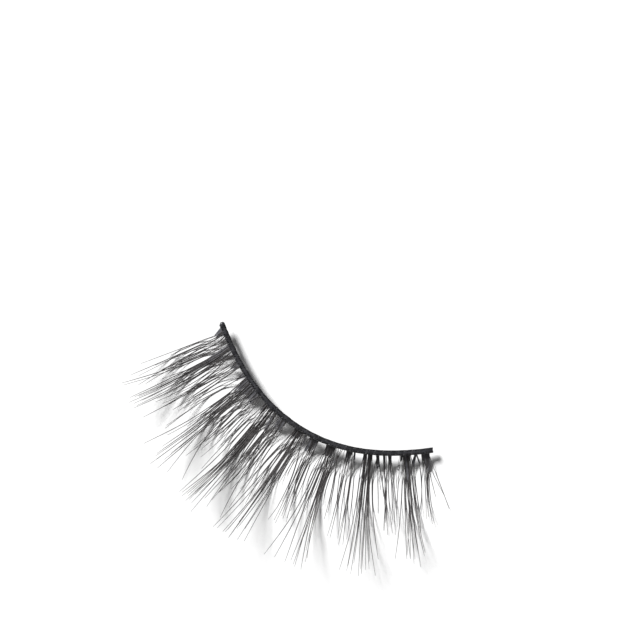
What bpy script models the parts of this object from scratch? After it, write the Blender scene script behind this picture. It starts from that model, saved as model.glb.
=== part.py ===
"""A false eyelash strip: a thin curved band with tufts of curled fibres tied along it.

Sizes are in millimetres until a mesh is placed. The strip lies curl up on a flat surface, on the bellies
of its tufts, with its band and its tips in the air. +X runs along the chord of the band, from its left
end to its right end, the tufts point towards -Y, and +Z is up.
"""

import math

import bmesh
import bpy

MM = 0.001

# The band's curve, along its inner, concave edge: the direction in degrees below +X after a distance
BAND_LENGTH = 31.3
HEADING_START = 37.4
HEADING_TURN = -0.805
HEADING_TURN_2 = -0.1491
HEADING_TURN_3 = 0.003106
CURVE_STEP = 0.05

# The band's section: a flat underside and two threads on top, with a groove between them
BAND_WIDTH = 0.58
BAND_HEIGHT = 0.34
THREAD_EDGE = 0.13
GROOVE_DEPTH = 0.07
EDGE_FLAT = 0.03
BAND_PIECES = 44

# How high the underside of the band lies: at its left end, how much higher a straight rise would take it
# at its right end, and how far it droops below that rise, from a share of the way along
LIFT_LEFT = 1.55
LIFT_RISE = 0.50
DROOP_START = 0.62
DROOP_RIGHT = 1.00

# The side view of the tufts: down from the band to the belly, then up to the tips
ROOT_ABOVE_UNDERSIDE = 0.17
BELLY_OUT = 4.7
TIP_OUT = 15.3
TIP_HEIGHT = 5.4
TIP_CURL = 1.8

# A tuft's locks, legs and knot
BAND_GAP = 0.05
KNOT_DEPTH = 0.30
KNOT_CROWN = 0.08
KNOT_HEIGHT = 0.18
LOCK_PIECES = 6
LOCK_WIDTH = 0.17
LOCK_SHARE = 0.72
TIP_SIZE = 0.045
LEG_PIECES = 2
LEG_SHARE = 0.80
LAYER_LIFT = 0.30

# One row for each tuft, from the left end of the band. "along" is the distance along the band, "out" the
# distance away from its inner edge. The legs stand between the roots, the knot lies where they join, and
# the locks fan out to the tips. Their reach goes from long to short. A flare under 1 spreads them early.
TUFT_COLUMNS = (
    "roots_from", "roots_to", "legs", "knot_along", "knot_out", "knot_width",
    "locks", "tips_from", "tips_to", "long", "short", "flare",
)
TUFTS = (
    (0.20, 1.35, 2, 1.05, 1.45, 0.40, 4, 0.75, 1.45, 12.2, 10.3, 0.8),
    (1.50, 2.35, 3, 1.98, 1.60, 0.50, 6, 1.75, 2.55, 13.4, 10.6, 0.8),
    (2.50, 3.30, 3, 3.05, 2.35, 0.50, 7, 2.95, 4.05, 14.0, 10.4, 1.1),
    (3.42, 4.25, 2, 3.78, 1.55, 0.36, 5, 4.30, 5.10, 13.1, 8.3, 0.7),
    (4.45, 5.45, 3, 5.15, 1.95, 0.52, 7, 5.25, 6.15, 11.2, 9.2, 0.9),
    (6.12, 6.68, 2, 6.48, 1.50, 0.26, 3, 6.40, 6.85, 11.7, 8.6, 0.8),
    (6.82, 7.98, 4, 7.45, 2.15, 0.95, 11, 7.05, 9.05, 15.2, 12.4, 0.8),
    (8.10, 8.90, 3, 8.65, 1.65, 0.48, 5, 9.20, 9.65, 10.6, 8.8, 0.7),
    (9.05, 9.95, 3, 9.45, 1.90, 0.50, 6, 9.80, 10.75, 11.0, 8.6, 0.7),
    (10.40, 11.15, 3, 10.90, 1.70, 0.60, 7, 10.95, 11.65, 15.4, 11.6, 0.8),
    (11.28, 11.85, 2, 11.68, 2.00, 0.48, 6, 11.80, 12.45, 15.6, 12.2, 0.8),
    (11.98, 12.42, 2, 12.35, 2.10, 0.30, 3, 12.75, 13.15, 11.0, 9.2, 0.6),
    (12.55, 13.70, 4, 13.18, 2.00, 0.85, 8, 13.35, 14.05, 13.7, 10.0, 0.9),
    (14.65, 16.00, 5, 15.25, 2.05, 1.10, 11, 14.20, 15.75, 15.3, 12.8, 0.9),
    (16.25, 17.90, 5, 17.15, 2.20, 1.15, 9, 16.55, 17.75, 11.4, 9.6, 0.9),
    (18.85, 20.10, 4, 19.50, 2.10, 1.00, 11, 18.10, 20.30, 15.2, 12.6, 0.9),
    (20.28, 20.85, 2, 20.60, 2.10, 0.28, 3, 20.75, 21.05, 9.0, 7.6, 1.0),
    (21.30, 22.35, 4, 21.85, 1.65, 0.85, 8, 21.45, 22.65, 11.3, 9.6, 1.1),
    (23.15, 24.25, 4, 23.75, 1.85, 0.95, 11, 22.95, 25.15, 14.7, 12.2, 1.4),
    (24.62, 25.08, 2, 24.86, 0.98, 0.22, 3, 25.00, 25.45, 7.4, 6.2, 1.0),
    (25.50, 26.40, 4, 26.00, 1.65, 0.80, 7, 25.85, 26.85, 9.9, 8.4, 1.0),
    (27.40, 28.60, 4, 28.05, 1.75, 0.85, 10, 27.10, 29.05, 13.5, 11.2, 1.4),
    (29.10, 29.40, 2, 29.25, 1.05, 0.22, 3, 29.20, 29.65, 6.8, 5.6, 1.0),
    (29.80, 30.90, 4, 30.40, 1.85, 0.90, 8, 30.05, 31.75, 8.6, 6.4, 1.0),
)

# Colours are linear values for near-black thread and near-black fibre
BAND_COLOUR = (0.012, 0.012, 0.013, 1.0)
FIBRE_COLOUR = (0.008, 0.007, 0.007, 1.0)


def heading(along):
    """The band's direction in radians below +X. Past the ends it goes on straight."""
    s = min(max(along, 0.0), BAND_LENGTH)
    degrees = HEADING_START + HEADING_TURN * s + HEADING_TURN_2 * s**2 + HEADING_TURN_3 * s**3
    return math.radians(degrees)


def inner_edge():
    """Points along the inner edge of the band, one for each step."""
    x = 0.0
    y = 0.0
    points = [(x, y)]
    for step in range(round(BAND_LENGTH / CURVE_STEP)):
        turn = heading((step + 0.5) * CURVE_STEP)
        x += CURVE_STEP * math.cos(turn)
        y -= CURVE_STEP * math.sin(turn)
        points.append((x, y))
    return points


EDGE_POINTS = inner_edge()


def plan_point(along, out):
    """The place, seen from above, of a point by its distance along the band and out from it."""
    s = min(max(along, 0.0), BAND_LENGTH)
    step = min(int(s / CURVE_STEP), len(EDGE_POINTS) - 1)
    turn = heading(along)
    x, y = EDGE_POINTS[step]
    x += (along - step * CURVE_STEP) * math.cos(turn) - out * math.sin(turn)
    y -= (along - step * CURVE_STEP) * math.sin(turn) + out * math.cos(turn)
    return x, y


BAND_CHORD = plan_point(BAND_LENGTH, 0.0)[0]


def underside_height(x):
    """Height of the band's underside: flat and rising from its left end, then drooping to its right end."""
    share = x / BAND_CHORD
    past = max(share - DROOP_START, 0.0) / (1.0 - DROOP_START)
    return LIFT_LEFT + LIFT_RISE * share - DROOP_RIGHT * past**2


def tuft_height(along, out):
    """Height of a tuft's middle layer: from the band down to the belly, then up with the curl."""
    if out < BELLY_OUT:
        root = underside_height(plan_point(along, 0.0)[0]) + ROOT_ABOVE_UNDERSIDE
        return root * (1.0 - out / BELLY_OUT) ** 2
    return TIP_HEIGHT * ((out - BELLY_OUT) / (TIP_OUT - BELLY_OUT)) ** TIP_CURL


def place_band_point(point):
    """From along, out and up in the straight band to its place in the bent one."""
    x, y = plan_point(point.x, point.y)
    return x, y, underside_height(x) + point.z


def place_tuft_point(point):
    """From along, out and up in a flat tuft to its place on the bent band."""
    x, y = plan_point(point.x, point.y)
    return x, y, tuft_height(point.x, point.y) + point.z


def material(name, colour, roughness):
    """A plain surface of one colour."""
    made = bpy.data.materials.new(name)
    made.use_nodes = True
    surface = made.node_tree.nodes["Principled BSDF"]
    surface.inputs["Base Color"].default_value = colour
    surface.inputs["Roughness"].default_value = roughness
    surface.inputs["Metallic"].default_value = 0.0
    return made


def add_object(name, bm, surface):
    """A named object from a finished mesh in millimetres."""
    bmesh.ops.triangulate(bm, faces=bm.faces[:])
    bmesh.ops.recalc_face_normals(bm, faces=bm.faces[:])
    mesh = bpy.data.meshes.new(name)
    bm.to_mesh(mesh)
    bm.free()
    mesh.materials.append(surface)
    mesh.shade_smooth()
    mesh.set_sharp_from_angle(angle=math.radians(40))
    made = bpy.data.objects.new(name, mesh)
    bpy.context.collection.objects.link(made)
    return made


def band_section():
    """The band's section as (out, up) points: flat below, two round threads above."""
    middle = BAND_WIDTH / 2
    half = [
        (EDGE_FLAT, 0.0),
        (0.0, EDGE_FLAT),
        (0.0, BAND_HEIGHT * 0.6),
        (THREAD_EDGE * 0.35, BAND_HEIGHT * 0.9),
        (THREAD_EDGE, BAND_HEIGHT),
        (middle - THREAD_EDGE * 0.6, BAND_HEIGHT * 0.95),
    ]
    other = [(BAND_WIDTH - out, up) for out, up in reversed(half)]
    return half + [(middle, BAND_HEIGHT - GROOVE_DEPTH)] + other


def make_band(surface):
    """The section drawn along the band, then bent to its curve."""
    bm = bmesh.new()
    corners = [bm.verts.new((0.0, out, up)) for out, up in band_section()]
    end = bm.faces.new(corners)
    for _ in range(BAND_PIECES):
        drawn = bmesh.ops.extrude_face_region(bm, geom=[end])["geom"]
        bmesh.ops.delete(bm, geom=[end], context="FACES_ONLY")
        end = next(item for item in drawn if isinstance(item, bmesh.types.BMFace))
        bmesh.ops.translate(bm, verts=end.verts[:], vec=(BAND_LENGTH / BAND_PIECES, 0.0, 0.0))
    bmesh.ops.holes_fill(bm, edges=[edge for edge in bm.edges if edge.is_boundary], sides=0)
    for vert in bm.verts:
        vert.co = place_band_point(vert.co)
    return add_object("lash_band", bm, surface)


def knot_plate(bm, tuft):
    """The flat knot of a tuft, with one wall for each lock in front and one for each leg behind."""
    outline = []
    for side, count in ((1, tuft["locks"]), (-1, tuft["legs"])):
        for corner in range(count + 1):
            across = (corner / count - 0.5) * side
            along = tuft["knot_along"] + across * tuft["knot_width"]
            crown = KNOT_CROWN * (1.0 - 4.0 * across**2)
            outline.append(bm.verts.new((along, tuft["knot_out"] + side * (KNOT_DEPTH / 2 + crown), 0.0)))
    plate = bm.faces.new(outline)
    raised = bmesh.ops.extrude_face_region(bm, geom=[plate])["geom"]
    top = [item for item in raised if isinstance(item, bmesh.types.BMVert)]
    bmesh.ops.translate(bm, verts=top, vec=(0.0, 0.0, KNOT_HEIGHT))
    bmesh.ops.recalc_face_normals(bm, faces=bm.faces[:])


def walls_facing(bm, direction):
    """The knot's walls that face out (1) or back to the band (-1), from left to right."""
    found = [face for face in bm.faces if face.normal.y * direction > 0.3]
    return sorted(found, key=lambda face: face.calc_center_median().x)


def draw_out(bm, wall, sections):
    """Draw a wall out through sections of (along, out, up, width, height)."""
    for along, out, up, width, height in sections:
        wall = bmesh.ops.extrude_discrete_faces(bm, faces=[wall])["faces"][0]
        middle = wall.calc_center_median()
        for vert in wall.verts:
            right = 0.5 if vert.co.x > middle.x else -0.5
            above = 0.5 if vert.co.z > middle.z else -0.5
            vert.co = (along + right * width, out, up + above * height)


def lock_sections(tuft, number):
    """The sections of one lock, from the knot to its tip."""
    share = number / (tuft["locks"] - 1)
    edge = abs(2.0 * share - 1.0) ** 1.5
    shorter = 0.6 * edge + 0.4 * (number % 2)
    reach = tuft["long"] - (tuft["long"] - tuft["short"]) * shorter
    start_out = tuft["knot_out"] + KNOT_DEPTH / 2
    start_along = tuft["knot_along"] + (share - 0.5) * tuft["knot_width"] * (1.0 - 1.0 / tuft["locks"])
    tip_along = tuft["tips_from"] + share * (tuft["tips_to"] - tuft["tips_from"])
    spacing_start = tuft["knot_width"] / tuft["locks"]
    spacing_tip = (tuft["tips_to"] - tuft["tips_from"]) / (tuft["locks"] - 1)
    layer = LAYER_LIFT * (number % 3 - 1)
    sections = []
    for piece in range(1, LOCK_PIECES + 1):
        part = piece / LOCK_PIECES
        out = start_out + (reach - start_out) * part
        spread = ((out - start_out) / (tuft["long"] - start_out)) ** tuft["flare"]
        spacing = spacing_start + (spacing_tip - spacing_start) * spread
        width = min(spacing * LOCK_SHARE, LOCK_WIDTH * (1.0 - part) + TIP_SIZE)
        height = KNOT_HEIGHT * (1.0 - part) + TIP_SIZE * part
        up = KNOT_HEIGHT / 2 + layer * part**2
        along = start_along + (tip_along - start_along) * spread
        sections.append((along, out, up, width, height))
    return sections


def leg_sections(tuft, number):
    """The sections of one leg, from the knot back to the band."""
    share = (number + 0.5) / tuft["legs"]
    root_along = tuft["roots_from"] + share * (tuft["roots_to"] - tuft["roots_from"])
    knot_along = tuft["knot_along"] + (share - 0.5) * tuft["knot_width"]
    start_out = tuft["knot_out"] - KNOT_DEPTH / 2
    root_out = BAND_WIDTH + BAND_GAP
    knot_width = tuft["knot_width"] / tuft["legs"] * LEG_SHARE
    root_width = (tuft["roots_to"] - tuft["roots_from"]) / tuft["legs"] * LEG_SHARE
    sections = []
    for piece in range(1, LEG_PIECES + 1):
        part = piece / LEG_PIECES
        along = knot_along + (root_along - knot_along) * part
        out = start_out + (root_out - start_out) * part
        width = knot_width + (root_width - knot_width) * part
        sections.append((along, out, KNOT_HEIGHT / 2, width, KNOT_HEIGHT))
    return sections


def make_tuft(name, tuft, surface):
    """One tuft: its knot, the locks in front and the legs behind, set down on its belly."""
    bm = bmesh.new()
    knot_plate(bm, tuft)
    front = walls_facing(bm, 1)
    back = walls_facing(bm, -1)
    for number, wall in enumerate(front):
        draw_out(bm, wall, lock_sections(tuft, number))
    for number, wall in enumerate(back):
        draw_out(bm, wall, leg_sections(tuft, number))
    for vert in bm.verts:
        vert.co = place_tuft_point(vert.co)
    lowest = min(vert.co.z for vert in bm.verts)
    bmesh.ops.translate(bm, verts=bm.verts[:], vec=(0.0, 0.0, -lowest))
    return add_object(name, bm, surface)


def stand_on_origin(objects):
    """Scale to metres and put the origin under the middle of the strip, on the surface it lies on."""
    points = [vert.co for made in objects for vert in made.data.vertices]
    middle_x = (min(point.x for point in points) + max(point.x for point in points)) / 2
    middle_y = (min(point.y for point in points) + max(point.y for point in points)) / 2
    for made in objects:
        for vert in made.data.vertices:
            vert.co = ((vert.co.x - middle_x) * MM, (vert.co.y - middle_y) * MM, vert.co.z * MM)
        made.data.update()


def main():
    for old in list(bpy.data.objects):
        bpy.data.objects.remove(old, do_unlink=True)
    band_surface = material("black_glued_thread", BAND_COLOUR, 0.5)
    fibre_surface = material("black_fibre", FIBRE_COLOUR, 0.35)
    made = [make_band(band_surface)]
    for number, row in enumerate(TUFTS, start=1):
        tuft = dict(zip(TUFT_COLUMNS, row))
        made.append(make_tuft(f"lash_tuft_{number:02d}", tuft, fibre_surface))
    stand_on_origin(made)


main()
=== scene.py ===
import math
import random

import bmesh
import bpy
import numpy
from mathutils import Euler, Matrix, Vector, noise


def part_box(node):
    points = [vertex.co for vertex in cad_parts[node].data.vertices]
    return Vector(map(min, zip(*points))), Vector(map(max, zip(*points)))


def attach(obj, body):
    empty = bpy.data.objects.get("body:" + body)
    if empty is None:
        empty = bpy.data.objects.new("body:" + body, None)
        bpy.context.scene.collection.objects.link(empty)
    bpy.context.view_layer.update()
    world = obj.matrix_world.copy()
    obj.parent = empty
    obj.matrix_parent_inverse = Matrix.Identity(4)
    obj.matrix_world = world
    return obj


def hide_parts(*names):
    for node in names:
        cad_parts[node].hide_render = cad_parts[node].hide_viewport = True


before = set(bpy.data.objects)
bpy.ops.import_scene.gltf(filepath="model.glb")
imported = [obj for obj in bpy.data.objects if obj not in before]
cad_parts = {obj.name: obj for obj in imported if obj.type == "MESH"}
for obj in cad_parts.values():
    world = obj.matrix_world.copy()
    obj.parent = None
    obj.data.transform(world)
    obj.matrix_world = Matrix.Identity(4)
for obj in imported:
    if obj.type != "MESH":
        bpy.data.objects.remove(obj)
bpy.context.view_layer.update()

mm = 0.001
scene = bpy.context.scene
draws = random.Random(31)

# The band's curve along its inner edge, as in the frame: degrees below +X after a distance in mm
bandCurve = {
    "length": 31.3,
    "start": 37.4,
    "turns": (-0.805, -0.1491, 0.003106),
    "step": 0.05,
    "width": 0.58,
    "lift": 1.55,          # height of the band's underside at its left end
    "rise": 0.50,          # from there to the right end, if it went on straight
    "droopStart": 0.62,    # a share of the chord
    "droop": 1.00,         # at the right end
    "outlineStep": 0.1,    # along, between the points that are set over the frame's band
}

# Side view of the fibres: down from the band to the belly, then up to the curled tips
sideView = {
    "rootHeight": 0.17,    # above the band's underside
    "bellyOut": 4.7,
    "tipOut": 15.3,
    "tipHeight": 5.4,
    "curl": 1.8,
}


def heading(along):
    s = min(max(along, 0.0), bandCurve["length"])
    first, second, third = bandCurve["turns"]
    return math.radians(bandCurve["start"] + first * s + second * s**2 + third * s**3)


def walkEdge():
    points = [Vector((0.0, 0.0))]
    step = bandCurve["step"]
    for number in range(round(bandCurve["length"] / step)):
        turn = heading((number + 0.5) * step)
        points.append(points[-1] + step * Vector((math.cos(turn), -math.sin(turn))))
    return points


edgePoints = walkEdge()


def planPoint(along, out):
    # seen from above: a distance along the band and a distance out from its inner edge
    step = bandCurve["step"]
    number = min(int(min(max(along, 0.0), bandCurve["length"]) / step), len(edgePoints) - 1)
    turn = heading(along)
    rest = along - number * step
    return edgePoints[number] + Vector((
        rest * math.cos(turn) - out * math.sin(turn),
        -rest * math.sin(turn) - out * math.cos(turn),
    ))


# The curve is set over the frame's own band
outline = [
    planPoint(number * bandCurve["outlineStep"], out)
    for number in range(round(bandCurve["length"] / bandCurve["outlineStep"]) + 1)
    for out in (0.0, bandCurve["width"])
]
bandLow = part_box("lash_band")[0] / mm
shift = Vector((bandLow.x - min(p.x for p in outline), bandLow.y - min(p.y for p in outline)))
chord = planPoint(bandCurve["length"], 0.0).x


def undersideHeight(along):
    share = planPoint(along, 0.0).x / chord
    past = max(share - bandCurve["droopStart"], 0.0) / (1.0 - bandCurve["droopStart"])
    return bandCurve["lift"] + bandCurve["rise"] * share - bandCurve["droop"] * past**2


def fibreHeight(along, out):
    belly = sideView["bellyOut"]
    if out < belly:
        return (undersideHeight(along) + sideView["rootHeight"]) * (1.0 - max(out, 0.0) / belly) ** 2
    return sideView["tipHeight"] * ((out - belly) / (sideView["tipOut"] - belly)) ** sideView["curl"]


def onBand(along, out, up):
    flat = planPoint(along, out) + shift
    return Vector((flat.x, flat.y, undersideHeight(along) + up)) * mm


def onTuft(along, out, up):
    flat = planPoint(along, out) + shift
    return Vector((flat.x, flat.y, fibreHeight(along, out) + up)) * mm


def linearColour(hexColour):
    parts = [int(hexColour[i:i + 2], 16) / 255 for i in (1, 3, 5)]
    return tuple(p / 12.92 if p <= 0.04045 else ((p + 0.055) / 1.055) ** 2.4 for p in parts) + (1.0,)


def addNode(material, kind, settings=None, links=None):
    # one node with its settings, then its links as input name: socket
    node = material.node_tree.nodes.new(kind)
    for name, value in (settings or {}).items():
        if name in node.inputs:
            node.inputs[name].default_value = value
        else:
            setattr(node, name, value)
    for name, socket in (links or {}).items():
        material.node_tree.links.new(socket, node.inputs[name])
    return node


def newMaterial(name, finish):
    made = bpy.data.materials.new(name)
    made.use_nodes = True
    surface = made.node_tree.nodes["Principled BSDF"]
    for socket, value in finish.items():
        surface.inputs[socket].default_value = value
    return made, surface


def perMetre(size):
    # texture scale for a pattern that repeats every so many mm
    return 1.0 / (size * mm)


def addNoise(material, size, detail):
    # an uneven pattern that stays with the object, with a grain of a size in mm
    place = addNode(material, "ShaderNodeTexCoord")
    settings = {"Scale": perMetre(size), "Detail": detail}
    return addNode(material, "ShaderNodeTexNoise", settings, {"Vector": place.outputs["Object"]})


def addTone(material, surface, pattern, steps):
    # the colour follows a pattern through a ramp, whose colours are given as place: hex
    tone = addNode(material, "ShaderNodeValToRGB", {}, {"Fac": pattern.outputs["Fac"]})
    marks = tone.color_ramp.elements
    while len(marks) < len(steps):
        marks.new(0.5)
    for mark, (place, hexColour) in zip(marks, steps.items()):
        mark.position = place
        mark.color = linearColour(hexColour)
    material.node_tree.links.new(tone.outputs["Color"], surface.inputs["Base Color"])


def addGloss(material, surface, pattern, low, high):
    # the roughness follows a pattern
    settings = {"To Min": low, "To Max": high}
    gloss = addNode(material, "ShaderNodeMapRange", settings, {"Value": pattern.outputs["Fac"]})
    material.node_tree.links.new(gloss.outputs["Result"], surface.inputs["Roughness"])


def addBump(material, surface, pattern, strength, depth):
    # a relief follows a pattern, with its depth in mm
    settings = {"Strength": strength, "Distance": depth * mm}
    bump = addNode(material, "ShaderNodeBump", settings, {"Height": pattern.outputs["Fac"]})
    material.node_tree.links.new(bump.outputs["Normal"], surface.inputs["Normal"])


# Drawn PBT fibre, solution dyed black, with a soft satin sheen. Its base colour is a neutral dark grey
# instead of black: painted sheen, standing in for the light the glossy fibres reflect
def makeFibreMaterial():
    made, surface = newMaterial("drawnBlackPbt", {"IOR": 1.55, "Metallic": 0.0})
    dyeAndSheen = addNoise(made, size=0.35, detail=3.0)
    # both greys are painted sheen over the black dye; the pattern only changes the tone at random along the
    # fibres
    addTone(made, surface, dyeAndSheen, {0.3: "#363434", 0.7: "#524f4f"})
    addGloss(made, surface, dyeAndSheen, low=0.30, high=0.46)
    # draw lines on a fibre are a few microns wide, so they are drawn ten times coarser
    lines = addNoise(made, size=0.04, detail=2.0)
    addBump(made, surface, lines, strength=0.25, depth=0.004)
    return made


# Black cotton yarn soaked in latex glue: darker and glossier in some patches, greyer and matt in others
def makeYarnMaterial():
    made, surface = newMaterial("gluedCottonYarn", {"IOR": 1.5, "Metallic": 0.0, "Specular IOR Level": 0.3})
    soak = addNoise(made, size=0.5, detail=4.0)
    addTone(made, surface, soak, {0.32: "#050506", 0.55: "#0c0c0e", 0.75: "#18181a"})
    addGloss(made, surface, soak, low=0.34, high=0.62)
    # cotton fibres in the yarn are 0.015 mm, drawn as 0.05 mm so that they show
    fluff = addNoise(made, size=0.05, detail=3.0)
    addBump(made, surface, fluff, strength=0.5, depth=0.012)
    return made


# Dried latex glue, tinted black: smooth and glossy, with greyer patches as where a film is thin
def makeGlueMaterial(name, dark, light):
    made, surface = newMaterial(name, {"IOR": 1.5, "Metallic": 0.0})
    film = addNoise(made, size=0.6, detail=3.0)
    addTone(made, surface, film, {0.35: dark, 0.7: light})
    addGloss(made, surface, film, low=0.22, high=0.40)
    addBump(made, surface, film, strength=0.4, depth=0.03)
    return made


# Matt white card: bleached paper, a very little uneven in tone
def makeCardMaterial():
    made, surface = newMaterial("mattWhiteCard", {
        "IOR": 1.45, "Metallic": 0.0, "Roughness": 0.85, "Specular IOR Level": 0.2,
    })
    tooth = addNoise(made, size=0.4, detail=3.0)
    addTone(made, surface, tooth, {0.0: "#ebebeb", 1.0: "#eeeeee"})
    return made


fibreMaterial = makeFibreMaterial()
yarnMaterial = makeYarnMaterial()
# the band's glue is a painted highlight: greyer than black latex, so that where it shows between the two
# yarns it reads as the lighter line along the band's middle
bandGlueMaterial = makeGlueMaterial("thickLatexGlue", "#202023", "#38383c")
# the films' greys are partly the grey of thin glue and partly painted light: they are made lighter so that
# films lying in the band's shadow still read grey
filmGlueMaterial = makeGlueMaterial("thinLatexFilm", "#4a4a4e", "#6c6c70")
print("materials made")


# Camera: straight down, at the photograph's turn and framing
photoView = {
    "over": (-4.335, 16.509),  # mm, the middle of the picture
    "turn": 31.0,
    "lens": 300.0,
    "sensor": 36.0,
    "width": 74.88,            # mm across the picture, at the height below
    "height": 1.2,
}


def makeCamera():
    data = bpy.data.cameras.new("photoCamera")
    data.lens = photoView["lens"]
    data.sensor_width = photoView["sensor"]
    data.clip_start = 0.01
    data.clip_end = 20.0
    camera = bpy.data.objects.new("photoCamera", data)
    x, y = photoView["over"]
    distance = photoView["width"] * photoView["lens"] / photoView["sensor"]
    camera.location = Vector((x, y, photoView["height"] + distance)) * mm
    camera.rotation_euler = Euler((0.0, 0.0, math.radians(photoView["turn"])))
    scene.collection.objects.link(camera)
    scene.camera = camera


# Light: one large soft key from the upper left of the picture, and a weak even fill
studioLight = {
    "towards": (0.956, -0.292),  # the way the shadows fall on the floor
    "elevation": 39.0,
    "strength": 5.8,
    "angle": 16.0,
    "fill": 0.18,
}


def makeLight():
    data = bpy.data.lights.new("keyLight", "SUN")
    data.energy = studioLight["strength"]
    data.angle = math.radians(studioLight["angle"])
    key = bpy.data.objects.new("keyLight", data)
    tilt = math.radians(studioLight["elevation"])
    x, y = studioLight["towards"]
    beam = Vector((x * math.cos(tilt), y * math.cos(tilt), -math.sin(tilt)))
    key.rotation_euler = beam.to_track_quat("-Z", "Y").to_euler()
    scene.collection.objects.link(key)
    world = bpy.data.worlds.new("studioFill")
    world.use_nodes = True
    background = world.node_tree.nodes["Background"]
    background.inputs["Color"].default_value = linearColour("#ffffff")
    background.inputs["Strength"].default_value = studioLight["fill"]
    scene.world = world
    scene.view_settings.view_transform = "Standard"


floorReach = 3.0  # metres, from the middle to each side


def makeFloor():
    bm = bmesh.new()
    bmesh.ops.create_grid(bm, x_segments=1, y_segments=1, size=floorReach)
    mesh = bpy.data.meshes.new("studioFloor")
    bm.to_mesh(mesh)
    bm.free()
    mesh.materials.append(makeCardMaterial())
    floor = bpy.data.objects.new("studioFloor", mesh)
    scene.collection.objects.link(floor)


makeCamera()
makeLight()
makeFloor()
print("camera, light and floor made")


# Each piece has two materials, its thread or fibres first and its glue second
threadNumber = 0
glueNumber = 1

meshFinish = {"weld": 0.0002, "sharpAngle": 50.0}  # mm and degrees


def finishPiece(name, bm, materials, node):
    # a mesh becomes a named object that rides on the body and stands for its CAD node
    bmesh.ops.remove_doubles(bm, verts=bm.verts[:], dist=meshFinish["weld"] * mm)
    bmesh.ops.recalc_face_normals(bm, faces=bm.faces[:])
    mesh = bpy.data.meshes.new(name)
    bm.to_mesh(mesh)
    bm.free()
    for material in materials:
        mesh.materials.append(material)
    mesh.shade_smooth()
    mesh.set_sharp_from_angle(angle=math.radians(meshFinish["sharpAngle"]))
    piece = bpy.data.objects.new(name, mesh)
    scene.collection.objects.link(piece)
    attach(piece, "root")
    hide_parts(node)


def addStrands(bm, strands, bevel):
    # strands from lists of (point, radius in mm), swept as curves and joined into the mesh
    curve = bpy.data.curves.new("strands", "CURVE")
    curve.dimensions = "3D"
    curve.bevel_depth = mm
    curve.bevel_resolution = bevel
    curve.use_fill_caps = True
    for strand in strands:
        spline = curve.splines.new("POLY")
        spline.points.add(len(strand) - 1)
        for knot, (point, radius) in zip(spline.points, strand):
            knot.co = (*point, 1.0)
            knot.radius = radius
    swept = bpy.data.objects.new("strands", curve)
    mesh = bpy.data.meshes.new_from_object(swept)
    before = len(bm.faces)
    bm.from_mesh(mesh)
    bm.faces.ensure_lookup_table()
    for face in bm.faces[before:]:
        face.material_index = threadNumber
    bpy.data.objects.remove(swept)
    bpy.data.curves.remove(curve)
    bpy.data.meshes.remove(mesh)


beadSkin = {
    "lumps": 0.25,       # a share of the bead's size
    "lumpSize": 0.08,
}


def addBead(bm, centre, size, flat):
    # a small drop of glue: a ball of a size in mm, flattened, with an uneven skin
    made = bmesh.ops.create_icosphere(bm, subdivisions=2, radius=size * mm)
    for vert in made["verts"]:
        vert.co.z *= flat
        lump = noise.noise(vert.co / (beadSkin["lumpSize"] * mm) + centre / mm)
        vert.co *= 1.0 + beadSkin["lumps"] * lump
        vert.co += centre
        for face in vert.link_faces:
            face.material_index = glueNumber


# The band: two plied yarns side by side, set in glue. The left end is a knob, the right end is cut square
lashBand = {
    # corners of the glue, as out and up
    "section": ((-0.04, 0.0), (-0.08, 0.04), (-0.08, 0.17), (-0.03, 0.25), (0.08, 0.295), (0.18, 0.30),
                (0.235, 0.31), (0.29, 0.30), (0.43, 0.295), (0.53, 0.25), (0.575, 0.17), (0.575, 0.04),
                (0.545, 0.0)),
    "pieces": 200,
    "lumps": 0.021,            # mm
    "lumpsLeft": 0.0525,       # where the beads are, and left of them
    "lumpSize": 0.55,
    "smallLumps": 0.5,         # how strong they are beside the large ones
    "smallLumpSize": 0.20,
    "middleUp": 0.15,          # the lumps push away from the section's middle
    "flatUp": 0.10,            # and below this height they push only sideways
    "yarns": (0.060, 0.415),   # out from the inner edge
    "yarnStart": -0.02,        # along
    "yarnBevel": 1,            # six sides
    "yarnUp": 0.20,
    "plyRadius": 0.075,
    "plyOut": 0.06,            # from the middle of the yarn to the middle of a ply
    "pitch": 0.62,
    "turnSteps": 10,
    "overhang": 0.01,          # of the yarns past the cut end
    "knob": (0.08, 0.22, 0.17),
    "knobSize": 0.33,
    "knobFlat": 0.62,
    "beads": 70,
    "beadsFrom": 6.5,
    "beadsTo": 14.0,
    "beadOut": (0.05, 0.52),
    "beadUp": (0.20, 0.28),
    "beadSize": (0.035, 0.085),
    "beadFlat": 0.7,
}


def addCore(bm):
    # the glue that holds the yarns: the section drawn along the band, with slow lumps
    corners = [bm.verts.new((0.0, out, up)) for out, up in lashBand["section"]]
    end = bm.faces.new(corners)
    step = bandCurve["length"] / lashBand["pieces"]
    for _ in range(lashBand["pieces"]):
        drawn = bmesh.ops.extrude_face_region(bm, geom=[end])["geom"]
        bmesh.ops.delete(bm, geom=[end], context="FACES_ONLY")
        end = next(item for item in drawn if isinstance(item, bmesh.types.BMFace))
        bmesh.ops.translate(bm, verts=end.verts[:], vec=(step, 0.0, 0.0))
    bmesh.ops.holes_fill(bm, edges=[edge for edge in bm.edges if edge.is_boundary], sides=0)
    middle = Vector((0.0, bandCurve["width"] / 2, lashBand["middleUp"]))
    for vert in bm.verts:
        spot = vert.co.copy()
        upward = spot.z - middle.z if spot.z > lashBand["flatUp"] else 0.0
        away = Vector((0.0, spot.y - middle.y, upward))
        swell = noise.noise(spot / lashBand["lumpSize"])
        swell += lashBand["smallLumps"] * noise.noise(spot / lashBand["smallLumpSize"])
        strength = lashBand["lumpsLeft" if spot.x < lashBand["beadsTo"] else "lumps"]
        spot += away.normalized() * swell * strength
        vert.co = onBand(spot.x, spot.y, max(spot.z, 0.0))
    for face in bm.faces:
        face.material_index = glueNumber


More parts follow.
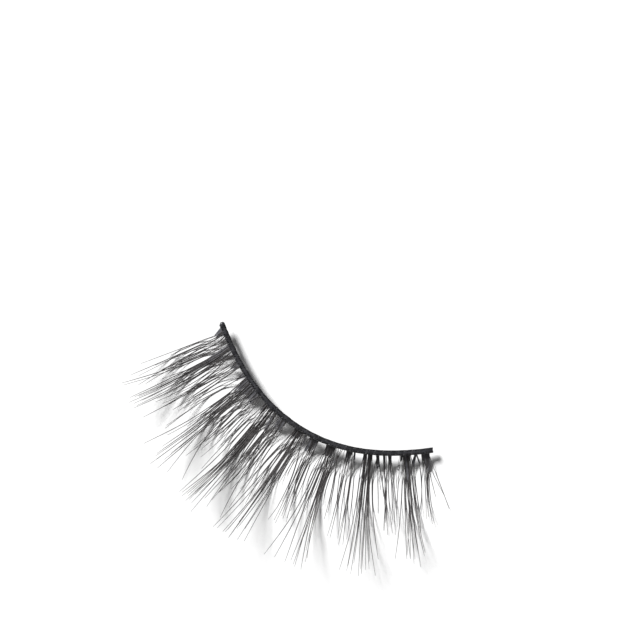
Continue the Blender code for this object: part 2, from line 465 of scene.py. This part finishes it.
def yarnStrands():
    # two plies wound round each yarn's middle line
    strands = []
    start = lashBand["yarnStart"]
    steps = round(bandCurve["length"] / lashBand["pitch"] * lashBand["turnSteps"])
    for number, middle in enumerate(lashBand["yarns"]):
        for ply in (0.0, math.pi):
            strand = []
            for step in range(steps + 1):
                along = start + (bandCurve["length"] - start + lashBand["overhang"]) * step / steps
                turn = 2.0 * math.pi * along / lashBand["pitch"] + ply + number
                out = middle + lashBand["plyOut"] * math.cos(turn)
                up = lashBand["yarnUp"] + lashBand["plyOut"] * math.sin(turn)
                strand.append((onBand(along, out, up), lashBand["plyRadius"]))
            strands.append(strand)
    return strands


def makeBand():
    bm = bmesh.new()
    addCore(bm)
    addStrands(bm, yarnStrands(), lashBand["yarnBevel"])
    addBead(bm, onBand(*lashBand["knob"]), lashBand["knobSize"], lashBand["knobFlat"])
    for _ in range(lashBand["beads"]):
        along = draws.uniform(lashBand["beadsFrom"], lashBand["beadsTo"])
        spot = onBand(along, draws.uniform(*lashBand["beadOut"]), draws.uniform(*lashBand["beadUp"]))
        addBead(bm, spot, draws.uniform(*lashBand["beadSize"]), lashBand["beadFlat"])
    finishPiece("lashBand", bm, (yarnMaterial, bandGlueMaterial), "lash_band")


makeBand()
print("band made")


# How every fibre is made
fibreShape = {
    "rings": 15,
    "ringsToRoot": 1.15,   # over 1 puts the rings closer together near the root
    "radius": 0.050,       # of a fibre as long as the longest
    "longest": 15.3,
    "slenderness": 0.55,   # how much thinner the short ones are, as a power of their length
    "atRoot": 0.92,        # how thick the root is beside the middle
    "fullOut": 8.0,
    "thinner": 0.80,       # every fibre of a sheaf but the first
    "radiusChange": 0.15,
    "tipRadius": 0.019,
    "taper": 6.0,
    "start": 0.22,         # inside the band
    "spreadRoot": 0.06,    # sideways from the middle of the sheaf, at the root and at the tip
    "spreadTip": 0.20,
    "bow": 0.05,
    "ragged": 0.10,        # how much shorter the shortest fibre in a sheaf is
    "stack": 0.07,         # up and down at the root
    "fan": (-1.50, 0.25),  # down and up at the tips of the longest
    "layer": 0.01,         # where fibres touch the floor, each of a sheaf lies this much over the one before
    "bevel": 0,            # four sides
}

# Glue between the roots: a thin web that runs out along the fibres to a ragged edge
glueFilm = {
    "start": 0.40,         # out from the inner edge of the band
    "columns": 26,
    "rows": 7,
    "thickness": 0.05,
    "under": 0.02,         # below the middle of the fibres
    "lumps": 0.03,
    "lumpSize": 0.25,
    "length": 0.90,        # of the ragged edge, as a share of the charted one
    "ragged": 0.90,
    "raggedSize": 0.15,
    "shortest": 0.25,
}

glueDrop = {"size": 0.11, "flat": 0.8, "up": 0.02}

# The fibres were charted on enlarged views of the photograph, with the band's curve pulled straight.
# Places and distances in the chart are pixels of the photograph, along the band or out from its inner edge.
chart = {
    "pixel": 0.117,                   # mm
    "stations": (4, 12, 25, 50, 80),  # out
    "strengthPerFibre": 2,
    "long": 104,                      # past this reach a sheaf counts as one stronger
    "fewestEased": 5,                 # charted places a sheaf needs to be eased onto a curve
    "degree": 2,                      # of that curve
    "secondWeight": 0.7,              # how much the place at the second station counts for it
}

# One entry for each tuft, from the left end:
# films: from and to at the band, from and to at the lower edge, how far out the lower edge is
# drops: place along, how far out
# sheaves of fibres: strength from 1 to 5, reach, then the place along at each station and at the tip
tufts = [
    {
        "films": ((2, 12, 8, 11, 15),),
        "drops": ((9, 11),),
        "sheaves": (
            (2, 92, 5, 8, 7.5, 7, 6.7, 6),
            (3, 105, 8, 10.4, 10.4, 11.4, 11.3, 11.6),
            (2, 62, 7, 9, 8.5, 9, 9),
            (2, 76, 10, 12.5, 13.8, 16.5, 17.6),
            (2, 80, 9, 11, 11.5, 12, 12),
            (2, 44, 11, 13.3, 14.5, 12.5),
        ),
    },
    {
        "films": (),
        "drops": (),
        "sheaves": (
            (2, 96, 17, 19.4, 19.8, 19.5, 21, 22.6),
            (3, 103, 14.5, 17, 15.5, 16.6, 18.4, 21),
            (3, 117, 18.5, 20, 20.5, 20.6, 17.8, 14.8),
            (2, 77, 12.5, 15.5, 16.5, 18, 17.6),
            (1, 60, 12, 14.6, 16, 15.5, 13),
            (1, 45, 15.5, 18, 20.5, 22),
        ),
    },
    {
        "films": ((21.5, 28, 25.8, 30.6, 36),),
        "drops": ((31, 16),),
        "sheaves": (
            (5, 118, 24.5, 26.4, 28, 30, 30.3, 29.8),
            (3, 115, 23, 24.8, 26.3, 27.6, 27.3, 27),
            (3, 114, 26, 27.6, 29.2, 31.5, 32, 32),
            (3, 74, 27, 28, 29.5, 32.7, 33),
            (2, 79, 24.5, 26, 27.5, 26, 24.4),
            (2, 70, 21.3, 22, 22.3, 21.8, 22),
            (3, 60, 25, 27, 28.5, 29, 28),
            (2, 88, 22.5, 24, 25.5, 28.5, 29.5),
        ),
    },
    {
        "films": ((32.6, 34.4, 31, 32.6, 13), (28, 29.4, 30.6, 31.8, 13)),
        "drops": (),
        "sheaves": (
            (3, 116, 28.3, 30.8, 32, 34.4, 35.2, 34.8),
            (2, 92, 33, 31.4, 33.4, 36, 36, 36.7),
            (2, 95, 34.5, 33, 35, 38.3, 38.5, 38),
            (2, 113, 34.4, 33.6, 37.4, 42.4, 41.4, 43.8),
            (2, 72, 33, 32.4, 32, 33, 33.3),
            (2, 60, 35.5, 34.5, 34.5, 35, 36),
            (1, 62, 33.6, 32, 31, 31.5, 32),
        ),
    },
    {
        "films": ((38.5, 47, 43, 47, 14),),
        "drops": (),
        "sheaves": (
            (4, 90, 42.5, 44, 45, 44.2, 44, 44),
            (3, 84, 38.5, 39.5, 41, 43.3, 44, 44.4),
            (3, 84, 46, 47, 48.6, 48.4, 49, 49),
            (3, 76, 44, 45.5, 46.2, 47.4, 48.5),
            (2, 75, 40, 40.6, 41.6, 41, 40.2),
            (2, 80, 45, 46.6, 47.6, 50, 52),
            (2, 72, 41, 42, 43, 42.2, 42),
        ),
    },
    {
        "films": ((52, 54, 55, 56.6, 14), (56.4, 58, 54.8, 56, 12)),
        "drops": ((55.5, 14),),
        "sheaves": (
            (2, 100, 52.5, 55, 55.2, 54.8, 55.8, 57.4),
            (2, 97, 57.4, 55.6, 54.2, 55, 55.5, 56),
            (1, 74, 56.6, 54.8, 52.6, 52, 52),
            (1, 70, 53, 55.4, 56, 53.6, 53),
        ),
    },
    {
        "films": ((57.5, 65, 61, 66, 23), (64.8, 71.5, 66, 70, 17)),
        "drops": (),
        "sheaves": (
            (4, 112, 58.5, 59.3, 61.7, 65.1, 65.6, 66.2),
            (2, 125, 59.5, 60.5, 61.6, 62.3, 61.3, 58),
            (5, 131, 65, 66.4, 67.6, 69.2, 69.8, 70.2),
            (3, 118, 67, 68, 69.2, 70.7, 72.8, 73.2),
            (2, 123, 70, 71, 71.5, 72, 74, 80.2),
            (1, 117, 70.8, 72.4, 74.6, 76.7, 80.2, 89.4),
            (2, 120, 63.5, 65, 66, 66.8, 68.7, 67.4),
            (2, 128, 68, 69.2, 70.6, 71.5, 73.8, 74.6),
            (3, 90, 67, 68.2, 69.6, 71, 72.6),
            (3, 80, 62, 63, 63.8, 64.4, 64.6),
            (3, 64, 60.5, 61.5, 63, 65.6, 66),
            (2, 62, 66, 66.6, 68, 69.6, 69),
            (2, 106, 61.5, 62.6, 64.4, 67, 68.6, 68.4),
        ),
    },
    {
        "films": ((71.5, 78.5, 74.5, 78, 17),),
        "drops": ((78, 17),),
        "sheaves": (
            (2, 99, 71, 72, 75, 78, 79.6, 79.8),
            (2, 88, 72.5, 73.6, 75.8, 77.3, 78.8),
            (2, 76, 76, 77, 79.4, 80, 80.6),
            (2, 72, 80, 79, 76, 73.8, 72.8),
            (1, 60, 74, 75.5, 77, 76, 75),
        ),
    },
    {
        "films": ((78, 82.4, 78.8, 81, 19),),
        "drops": (),
        "sheaves": (
            (3, 84, 79, 80.4, 81.2, 82.4, 83),
            (2, 76, 78, 79.6, 80.6, 81.4, 81),
            (2, 89, 81.2, 82.9, 85, 86.7, 87.2, 86.6),
            (2, 72, 82.7, 84.6, 86.8, 89, 90),
            (2, 68, 80.6, 81.6, 83.6, 82.8, 83.4),
            (1, 62, 81, 81.8, 83, 84.5, 85.5),
        ),
    },
    {
        "films": ((89.5, 96, 90.8, 95.5, 14),),
        "drops": (),
        "sheaves": (
            (2, 96, 89.4, 90, 90, 90.5, 92, 92.4),
            (2, 127, 91, 92, 92, 92.7, 95, 93),
            (3, 124, 91.4, 92.6, 95.4, 98, 98.4, 97.2),
            (2, 128, 93, 94, 96.6, 97.2, 97, 96),
            (2, 126, 95, 95.4, 98.2, 98.6, 97.6, 94.6),
            (3, 84, 92.4, 94, 96, 97.4, 98),
            (2, 66, 89.5, 89.8, 88.8, 89.6, 90.2),
        ),
    },
    {
        "films": ((96, 100.6, 97, 100, 9),),
        "drops": (),
        "sheaves": (
            (4, 129, 98, 98.5, 99.6, 100.5, 100.3, 99.2),
            (3, 124, 97, 97.6, 98.6, 99.4, 98.8, 98.4),
            (3, 127, 99.4, 100.3, 101.8, 102.8, 102.7, 102.5),
            (3, 133, 100.5, 101, 102, 103.6, 104.2, 105.4),
            (3, 95, 99, 100, 101, 101.6, 102.4),
            (2, 118, 96, 97, 99.4, 100, 101, 100.6),
            (3, 74, 98, 99, 100.4, 102, 103),
        ),
    },
    {
        "films": ((101, 102.8, 105, 107.4, 25),),
        "drops": (),
        "sheaves": (
            (2, 102, 101, 104, 107.7, 112.3, 111.4, 110.4),
            (3, 115, 103, 105, 106.8, 106.2, 106.5, 106.3),
            (2, 92, 104, 105.6, 107.8, 108, 108.2),
            (2, 88, 102.6, 104.6, 108.6, 110, 110),
        ),
    },
    {
        "films": ((109, 117.4, 110.5, 116.8, 17),),
        "drops": ((112, 43),),
        "sheaves": (
            (3, 102, 110.4, 111.8, 112.4, 113, 112, 110.4),
            (3, 92, 113, 114, 114.9, 115.7, 115.6, 115),
            (1, 120, 113.4, 114.2, 115.2, 115.6, 115, 120.2),
            (3, 82, 116, 117, 117.6, 116.4, 116.8),
            (2, 107, 116.6, 117.8, 119, 120.4, 119.6, 121),
            (2, 90, 108, 109.4, 110, 109, 108.6),
            (3, 80, 112, 113.4, 114.4, 114.6, 114),
            (2, 66, 106.5, 107.6, 108.6, 107.6, 107),
            (3, 58, 114.4, 115.4, 117, 118, 118.4),
            (2, 60, 109, 110.4, 111.4, 110.8, 110.4),
        ),
    },
    {
        "films": ((126.5, 136.8, 128, 135, 16),),
        "drops": (),
        "sheaves": (
            (2, 88, 128, 127, 125, 122.2, 122, 122.3),
            (2, 86, 128.4, 127.6, 126.2, 122.6, 119.8),
            (3, 131, 129, 128.6, 128.2, 125.8, 124.3, 119.8),
            (1, 95, 129.4, 129, 128.6, 126, 126.8, 127.6),
            (4, 130, 131, 131.5, 131.8, 130.8, 129.4, 125.6),
            (3, 131, 133, 133, 133.4, 133, 131.2, 130),
            (3, 120, 136, 136, 136.2, 135.3, 133.2, 131.4),
            (3, 129, 136.8, 136.6, 137, 136.1, 135.4, 134.6),
            (2, 85, 130, 130, 129.6, 129, 129),
            (3, 75, 132, 132.2, 132.6, 131.6, 131.2),
            (3, 62, 134, 134.4, 135, 134.6, 134),
            (3, 124, 132, 131.8, 132, 131.6, 129.6, 127.4),
        ),
    },
    {
        "films": ((144.6, 153.8, 145, 153.2, 20), (139, 140.4, 140.8, 142.2, 17)),
        "drops": (),
        "sheaves": (
            (3, 97, 138.8, 139.4, 143, 146.8, 146, 144.8),
            (2, 95, 145.6, 145.4, 146, 148, 148.3, 148),
            (3, 97, 149, 149.2, 149.3, 149.2, 149, 149.6),
            (2, 90, 151, 151.3, 151, 151.2, 152, 152.6),
            (4, 92, 152.6, 153.3, 152.8, 153, 154.7, 155.3),
            (2, 80, 152, 152.6, 153.2, 155, 155),
            (3, 75, 148, 148.8, 148.2, 147.8, 147.4),
            (2, 88, 147, 148, 148.6, 149.6, 151, 151),
            (2, 60, 141.4, 140.6, 140.2, 140, 139.6),
            (2, 64, 150, 150.4, 150, 151, 152),
            (1, 50, 145, 142.4, 141.6, 142),
        ),
    },
    {
        "films": ((161.2, 171.6, 163.4, 170.4, 17),),
        "drops": ((173.5, 19),),
        "sheaves": (
            (2, 129, 163, 162, 160.3, 160.4, 158.3, 151),
            (2, 128, 164, 163, 162, 162.3, 159.7, 157),
            (2, 129, 165, 164.7, 164.4, 163, 162.2, 163.2),
            (3, 125, 167, 166.6, 167.3, 167.6, 166.7, 166),
            (4, 129, 168.4, 168, 168, 168.8, 168.8, 169),
            (4, 130, 170.4, 171.4, 171, 169.1, 170.2, 172.7),
            (3, 122, 171.4, 172.4, 172, 172.8, 171.3, 174.2),
            (3, 76, 166, 166, 165.6, 165, 164),
            (2, 90, 169, 170, 170.6, 171, 171.4),
            (2, 62, 161.6, 162.6, 158, 158.6, 161),
            (3, 66, 168, 169.2, 169.6, 169, 168),
            (2, 60, 165, 165.4, 166.2, 166, 165.4),
        ),
    },
    {
        "films": (),
        "drops": (),
        "sheaves": (
            (1, 80, 178.4, 176.7, 172.6, 172.5, 172.6),
            (2, 77, 174, 175.6, 177.6, 178.8, 178.4),
            (1, 64, 176.6, 176, 174.4, 173.6, 175),
            (1, 70, 172.2, 174.2, 177, 179, 179.4),
        ),
    },
    {
        "films": ((182, 188.6, 183, 186.6, 20), (189.2, 191.2, 190.4, 191.8, 16)),
        "drops": (),
        "sheaves": (
            (2, 92, 183, 182.4, 181.8, 184, 182.8, 183.2),
            (3, 94, 184.5, 184.3, 183.7, 184.7, 185, 184.8),
            (3, 92, 186, 186.8, 187, 188.2, 189.4, 190),
            (2, 98, 187.6, 189, 190.3, 191.3, 191.2, 191.3),
            (3, 98, 190.3, 190.6, 191, 192, 193, 194),
            (1, 92, 190.8, 191.6, 193, 194.8, 195.5, 196),
            (2, 85, 188, 188.8, 190, 191, 190.5),
            (1, 30, 190.6, 188.8, 188),
            (2, 62, 180.4, 180, 180.6, 183.2, 185),
            (3, 70, 185, 185.6, 185.4, 184.2, 183.6),
        ),
    },
    {
        "films": ((198.6, 202.6, 200, 202.4, 30), (203, 207.6, 205, 207, 22)),
        "drops": (),
        "sheaves": (
            (2, 122, 199.5, 199, 198, 198.4, 198.8, 194),
            (1, 122, 200.4, 200.3, 200, 200, 199.2, 198.6),
            (4, 124, 200.6, 201.2, 201.2, 201.8, 202.2, 201.1),
            (2, 114, 201.6, 202, 202.2, 202.5, 202.7, 202.3),
            (3, 126, 203.5, 204, 204.3, 205, 204.7, 206),
            (2, 123, 205, 205, 204.7, 205.6, 206.3, 207.5),
            (4, 119, 205.6, 206, 206.1, 207.3, 208.3, 210),
            (2, 118, 206, 206.8, 206.4, 208.3, 210, 212),
            (2, 124, 206.5, 207, 207, 208.2, 210.4, 216.3),
            (2, 108, 207.4, 208, 209.4, 211.4, 213.8, 217.8),
            (4, 60, 202, 202.8, 203, 204, 204),
            (3, 66, 204.4, 205, 206, 206.8, 207.6),
            (2, 50, 200, 201, 202, 201.4),
        ),
    },
    {
        "films": ((212, 214.2, 211.2, 215.8, 19),),
        "drops": ((214, 15),),
        "sheaves": (
            (2, 80, 210.8, 213.6, 216.2, 220.8, 221.4),
            (1, 62, 214, 211.8, 211, 212, 212.6),
            (2, 63, 213.6, 212.6, 213.8, 215.9, 216),
            (1, 46, 214.2, 214.8, 217.4, 219.8),
            (1, 40, 211, 213, 215.4, 217.6),
        ),
    },
    {
        "films": ((217.8, 220.4, 218.8, 221.2, 19), (223.4, 226.6, 223.2, 226.2, 22)),
        "drops": (),
        "sheaves": (
            (3, 84, 219, 219.3, 220.5, 222.8, 223.6),
            (3, 82, 223, 224, 223.5, 225, 227.2),
            (2, 84, 224.7, 225.3, 226.8, 228.4, 229.4),
            (2, 76, 225.6, 227, 228.6, 230.6, 231),
            (2, 72, 221, 221.5, 221.7, 222, 222),
            (3, 74, 224, 224.6, 225, 226.5, 227),
            (1, 80, 218.4, 219, 220, 221, 220.6),
            (2, 54, 218.6, 219.6, 220.8, 221),
        ),
    },
    {
        "films": (
            (235, 237.2, 234.6, 237, 12),
            (239, 242, 239.6, 242.8, 31),
            (242, 244.8, 242.6, 245, 14),
        ),
        "drops": ((233, 15), (233, 19)),
        "sheaves": (
            (2, 62, 236, 234, 232.5, 230.8, 230.4),
            (2, 108, 236.6, 236.6, 236.4, 235, 231.8, 229),
            (1, 108, 237.4, 237.5, 237.7, 237.2, 237.1, 237),
            (4, 113, 238.6, 239, 239.6, 241, 241.3, 242),
            (3, 108, 241, 241.7, 242, 241.6, 240.8, 239.6),
            (2, 116, 243, 243.3, 243.5, 244, 244.7, 246.5),
            (3, 106, 244, 244.6, 245.3, 245.9, 247, 250),
            (2, 103, 242, 242.4, 242.6, 243, 243, 246),
            (1, 108, 240, 240, 240, 239.8, 239.3, 239.6),
            (3, 44, 238.4, 238.6, 238.8, 238.6),
            (3, 75, 241, 241.8, 242, 242, 243),
            (2, 85, 245, 245.8, 246.8, 248, 249),
            (1, 38, 234.8, 233.4, 231.4, 231),
        ),
    },
    {
        "films": ((249.4, 251.6, 246, 248.2, 17), (249.9, 251.4, 252.7, 254.1, 14)),
        "drops": (),
        "sheaves": (
            (2, 60, 250.1, 248.2, 246.4, 247, 247.4),
            (2, 65, 250.3, 252.6, 254, 252.2, 250.6),
            (1, 60, 250.2, 252, 253.4, 251.4, 249.8),
        ),
    },
    {
        "films": ((255.4, 264.2, 256.2, 262.4, 22),),
        "drops": (),
        "sheaves": (
            (3, 70, 256, 256, 256.2, 255, 254.4),
            (3, 68, 258, 257.6, 258, 257, 256.4),
            (4, 76, 260, 261, 260, 258.3, 259),
            (1, 49, 262, 262.2, 262.4, 264.6),
            (1, 49, 262.4, 263, 264.9, 273),
            (1, 63, 263, 264.5, 267.3, 273.6, 276),
            (3, 55, 257, 258, 258.4, 257.4, 257),
            (3, 50, 261, 260, 259, 258.2),
            (2, 40, 263.4, 263.6, 261.6, 260),
        ),
    },
]


def placeAt(stations, places, out):
    # how far along the band a line is at a distance out: a smooth line through the charted places
    number = max(i for i in range(len(stations) - 1) if out >= stations[i] or i == 0)
    low, high = stations[number], stations[number + 1]
    slopes = []
    for i in (number, number + 1):
        before, after = max(i - 1, 0), min(i + 1, len(stations) - 1)
        slopes.append((places[after] - places[before]) / (stations[after] - stations[before]))
    span = high - low
    t = (out - low) / span
    return (
        (2 * t**3 - 3 * t**2 + 1) * places[number]
        + (t**3 - 2 * t**2 + t) * span * slopes[0]
        + (3 * t**2 - 2 * t**3) * places[number + 1]
        + (t**3 - t**2) * span * slopes[1]
    )


def readSheaf(sheaf):
    # how many fibres a sheaf has, and their line as distances out and places along, in mm
    strength, reach, *places = sheaf
    stations = [*chart["stations"][:len(places) - 1], reach]
    if len(places) >= chart["fewestEased"]:
        # past the second station the charted places are eased onto one smooth curve
        weights = [chart["secondWeight"]] + [1.0] * (len(places) - 2)
        curve = numpy.polyfit(stations[1:], places[1:], chart["degree"], w=weights)
        places[2:] = [float(numpy.polyval(curve, out)) for out in stations[2:]]
    if reach > chart["long"]:
        strength += 1
    count = max(strength // chart["strengthPerFibre"], 1)
    return count, [chart["pixel"] * out for out in stations], [chart["pixel"] * place for place in places]


def fibreStrand(stations, places, number):
    # points with a radius: the first fibre of a sheaf follows the charted line, the others lie beside it
    reach = stations[-1]
    size = reach / fibreShape["longest"]
    beside = 1.0 if number else 0.0
    longest = reach * (1.0 - beside * fibreShape["ragged"] * draws.random())
    atRoot = beside * draws.gauss(0.0, fibreShape["spreadRoot"])
    atTip = beside * draws.gauss(0.0, fibreShape["spreadTip"])
    bow = draws.gauss(0.0, fibreShape["bow"])
    radius = fibreShape["radius"] * size ** fibreShape["slenderness"]
    radius *= 1.0 + draws.uniform(-1.0, 1.0) * fibreShape["radiusChange"]
    radius *= fibreShape["thinner"] if number else 1.0
    stack = draws.uniform(-1.0, 1.0) * fibreShape["stack"]
    fan = draws.uniform(*fibreShape["fan"]) * size**2
    tip = fibreShape["tipRadius"]
    strand = []
    for ring in range(fibreShape["rings"]):
        part = ring / (fibreShape["rings"] - 1)
        out = fibreShape["start"] + (longest - fibreShape["start"]) * part ** fibreShape["ringsToRoot"]
        place = placeAt(stations, places, max(out, stations[0]))
        place += atRoot + (atTip - atRoot) * part + bow * math.sin(math.pi * part)
        thick = tip + (radius - tip) * (1.0 - part ** fibreShape["taper"])
        thick *= fibreShape["atRoot"] + (1.0 - fibreShape["atRoot"]) * min(out / fibreShape["fullOut"], 1.0)
        up = stack * (1.0 - part) + fan * part**2
        up = max(up, thick + fibreShape["layer"] * number - fibreHeight(place, out))
        strand.append((onTuft(place, out, up), thick))
    return strand


def addFilm(bm, film):
    # a web between two pairs of places, wavy and ragged at its lower edge, with a thickness
    fromTop, toTop, fromEnd, toEnd, end = [chart["pixel"] * place for place in film]
    made = bmesh.ops.create_grid(bm, x_segments=glueFilm["columns"], y_segments=glueFilm["rows"], size=1.0)
    faces = list({face for vert in made["verts"] for face in vert.link_faces})
    for vert in made["verts"]:
        across = (vert.co.x + 1.0) / 2.0
        down = (vert.co.y + 1.0) / 2.0
        left = fromTop + (fromEnd - fromTop) * down
        right = toTop + (toEnd - toTop) * down
        place = left + (right - left) * across
        top = fromTop + (toTop - fromTop) * across
        ragged = glueFilm["ragged"] * noise.noise(Vector((top / glueFilm["raggedSize"], end, 0.0)))
        length = min(max(glueFilm["length"] + ragged, glueFilm["shortest"]), 1.0)
        out = glueFilm["start"] + (end - glueFilm["start"]) * down * length
        lump = noise.noise(Vector((place, out, 0.0)) / glueFilm["lumpSize"])
        vert.co = onTuft(place, out, glueFilm["lumps"] * lump - glueFilm["under"])
        vert.co.z = max(vert.co.z, glueFilm["thickness"] * mm)
    bmesh.ops.solidify(bm, geom=faces, thickness=glueFilm["thickness"] * mm)


def makeTuft(number, tuft):
    bm = bmesh.new()
    for film in tuft["films"]:
        addFilm(bm, film)
    for face in bm.faces:
        face.material_index = glueNumber
    for place, out in tuft["drops"]:
        spot = onTuft(chart["pixel"] * place, chart["pixel"] * out, glueDrop["up"])
        spot.z = max(spot.z, glueDrop["size"] * mm)
        addBead(bm, spot, glueDrop["size"], glueDrop["flat"])
    strands = []
    for sheaf in tuft["sheaves"]:
        count, stations, places = readSheaf(sheaf)
        strands += [fibreStrand(stations, places, which) for which in range(count)]
    addStrands(bm, strands, fibreShape["bevel"])
    materials = (fibreMaterial, filmGlueMaterial)
    finishPiece(f"lashTuft{number:02d}", bm, materials, f"lash_tuft_{number:02d}")


for number, tuft in enumerate(tufts, 1):
    makeTuft(number, tuft)
print("tufts made")
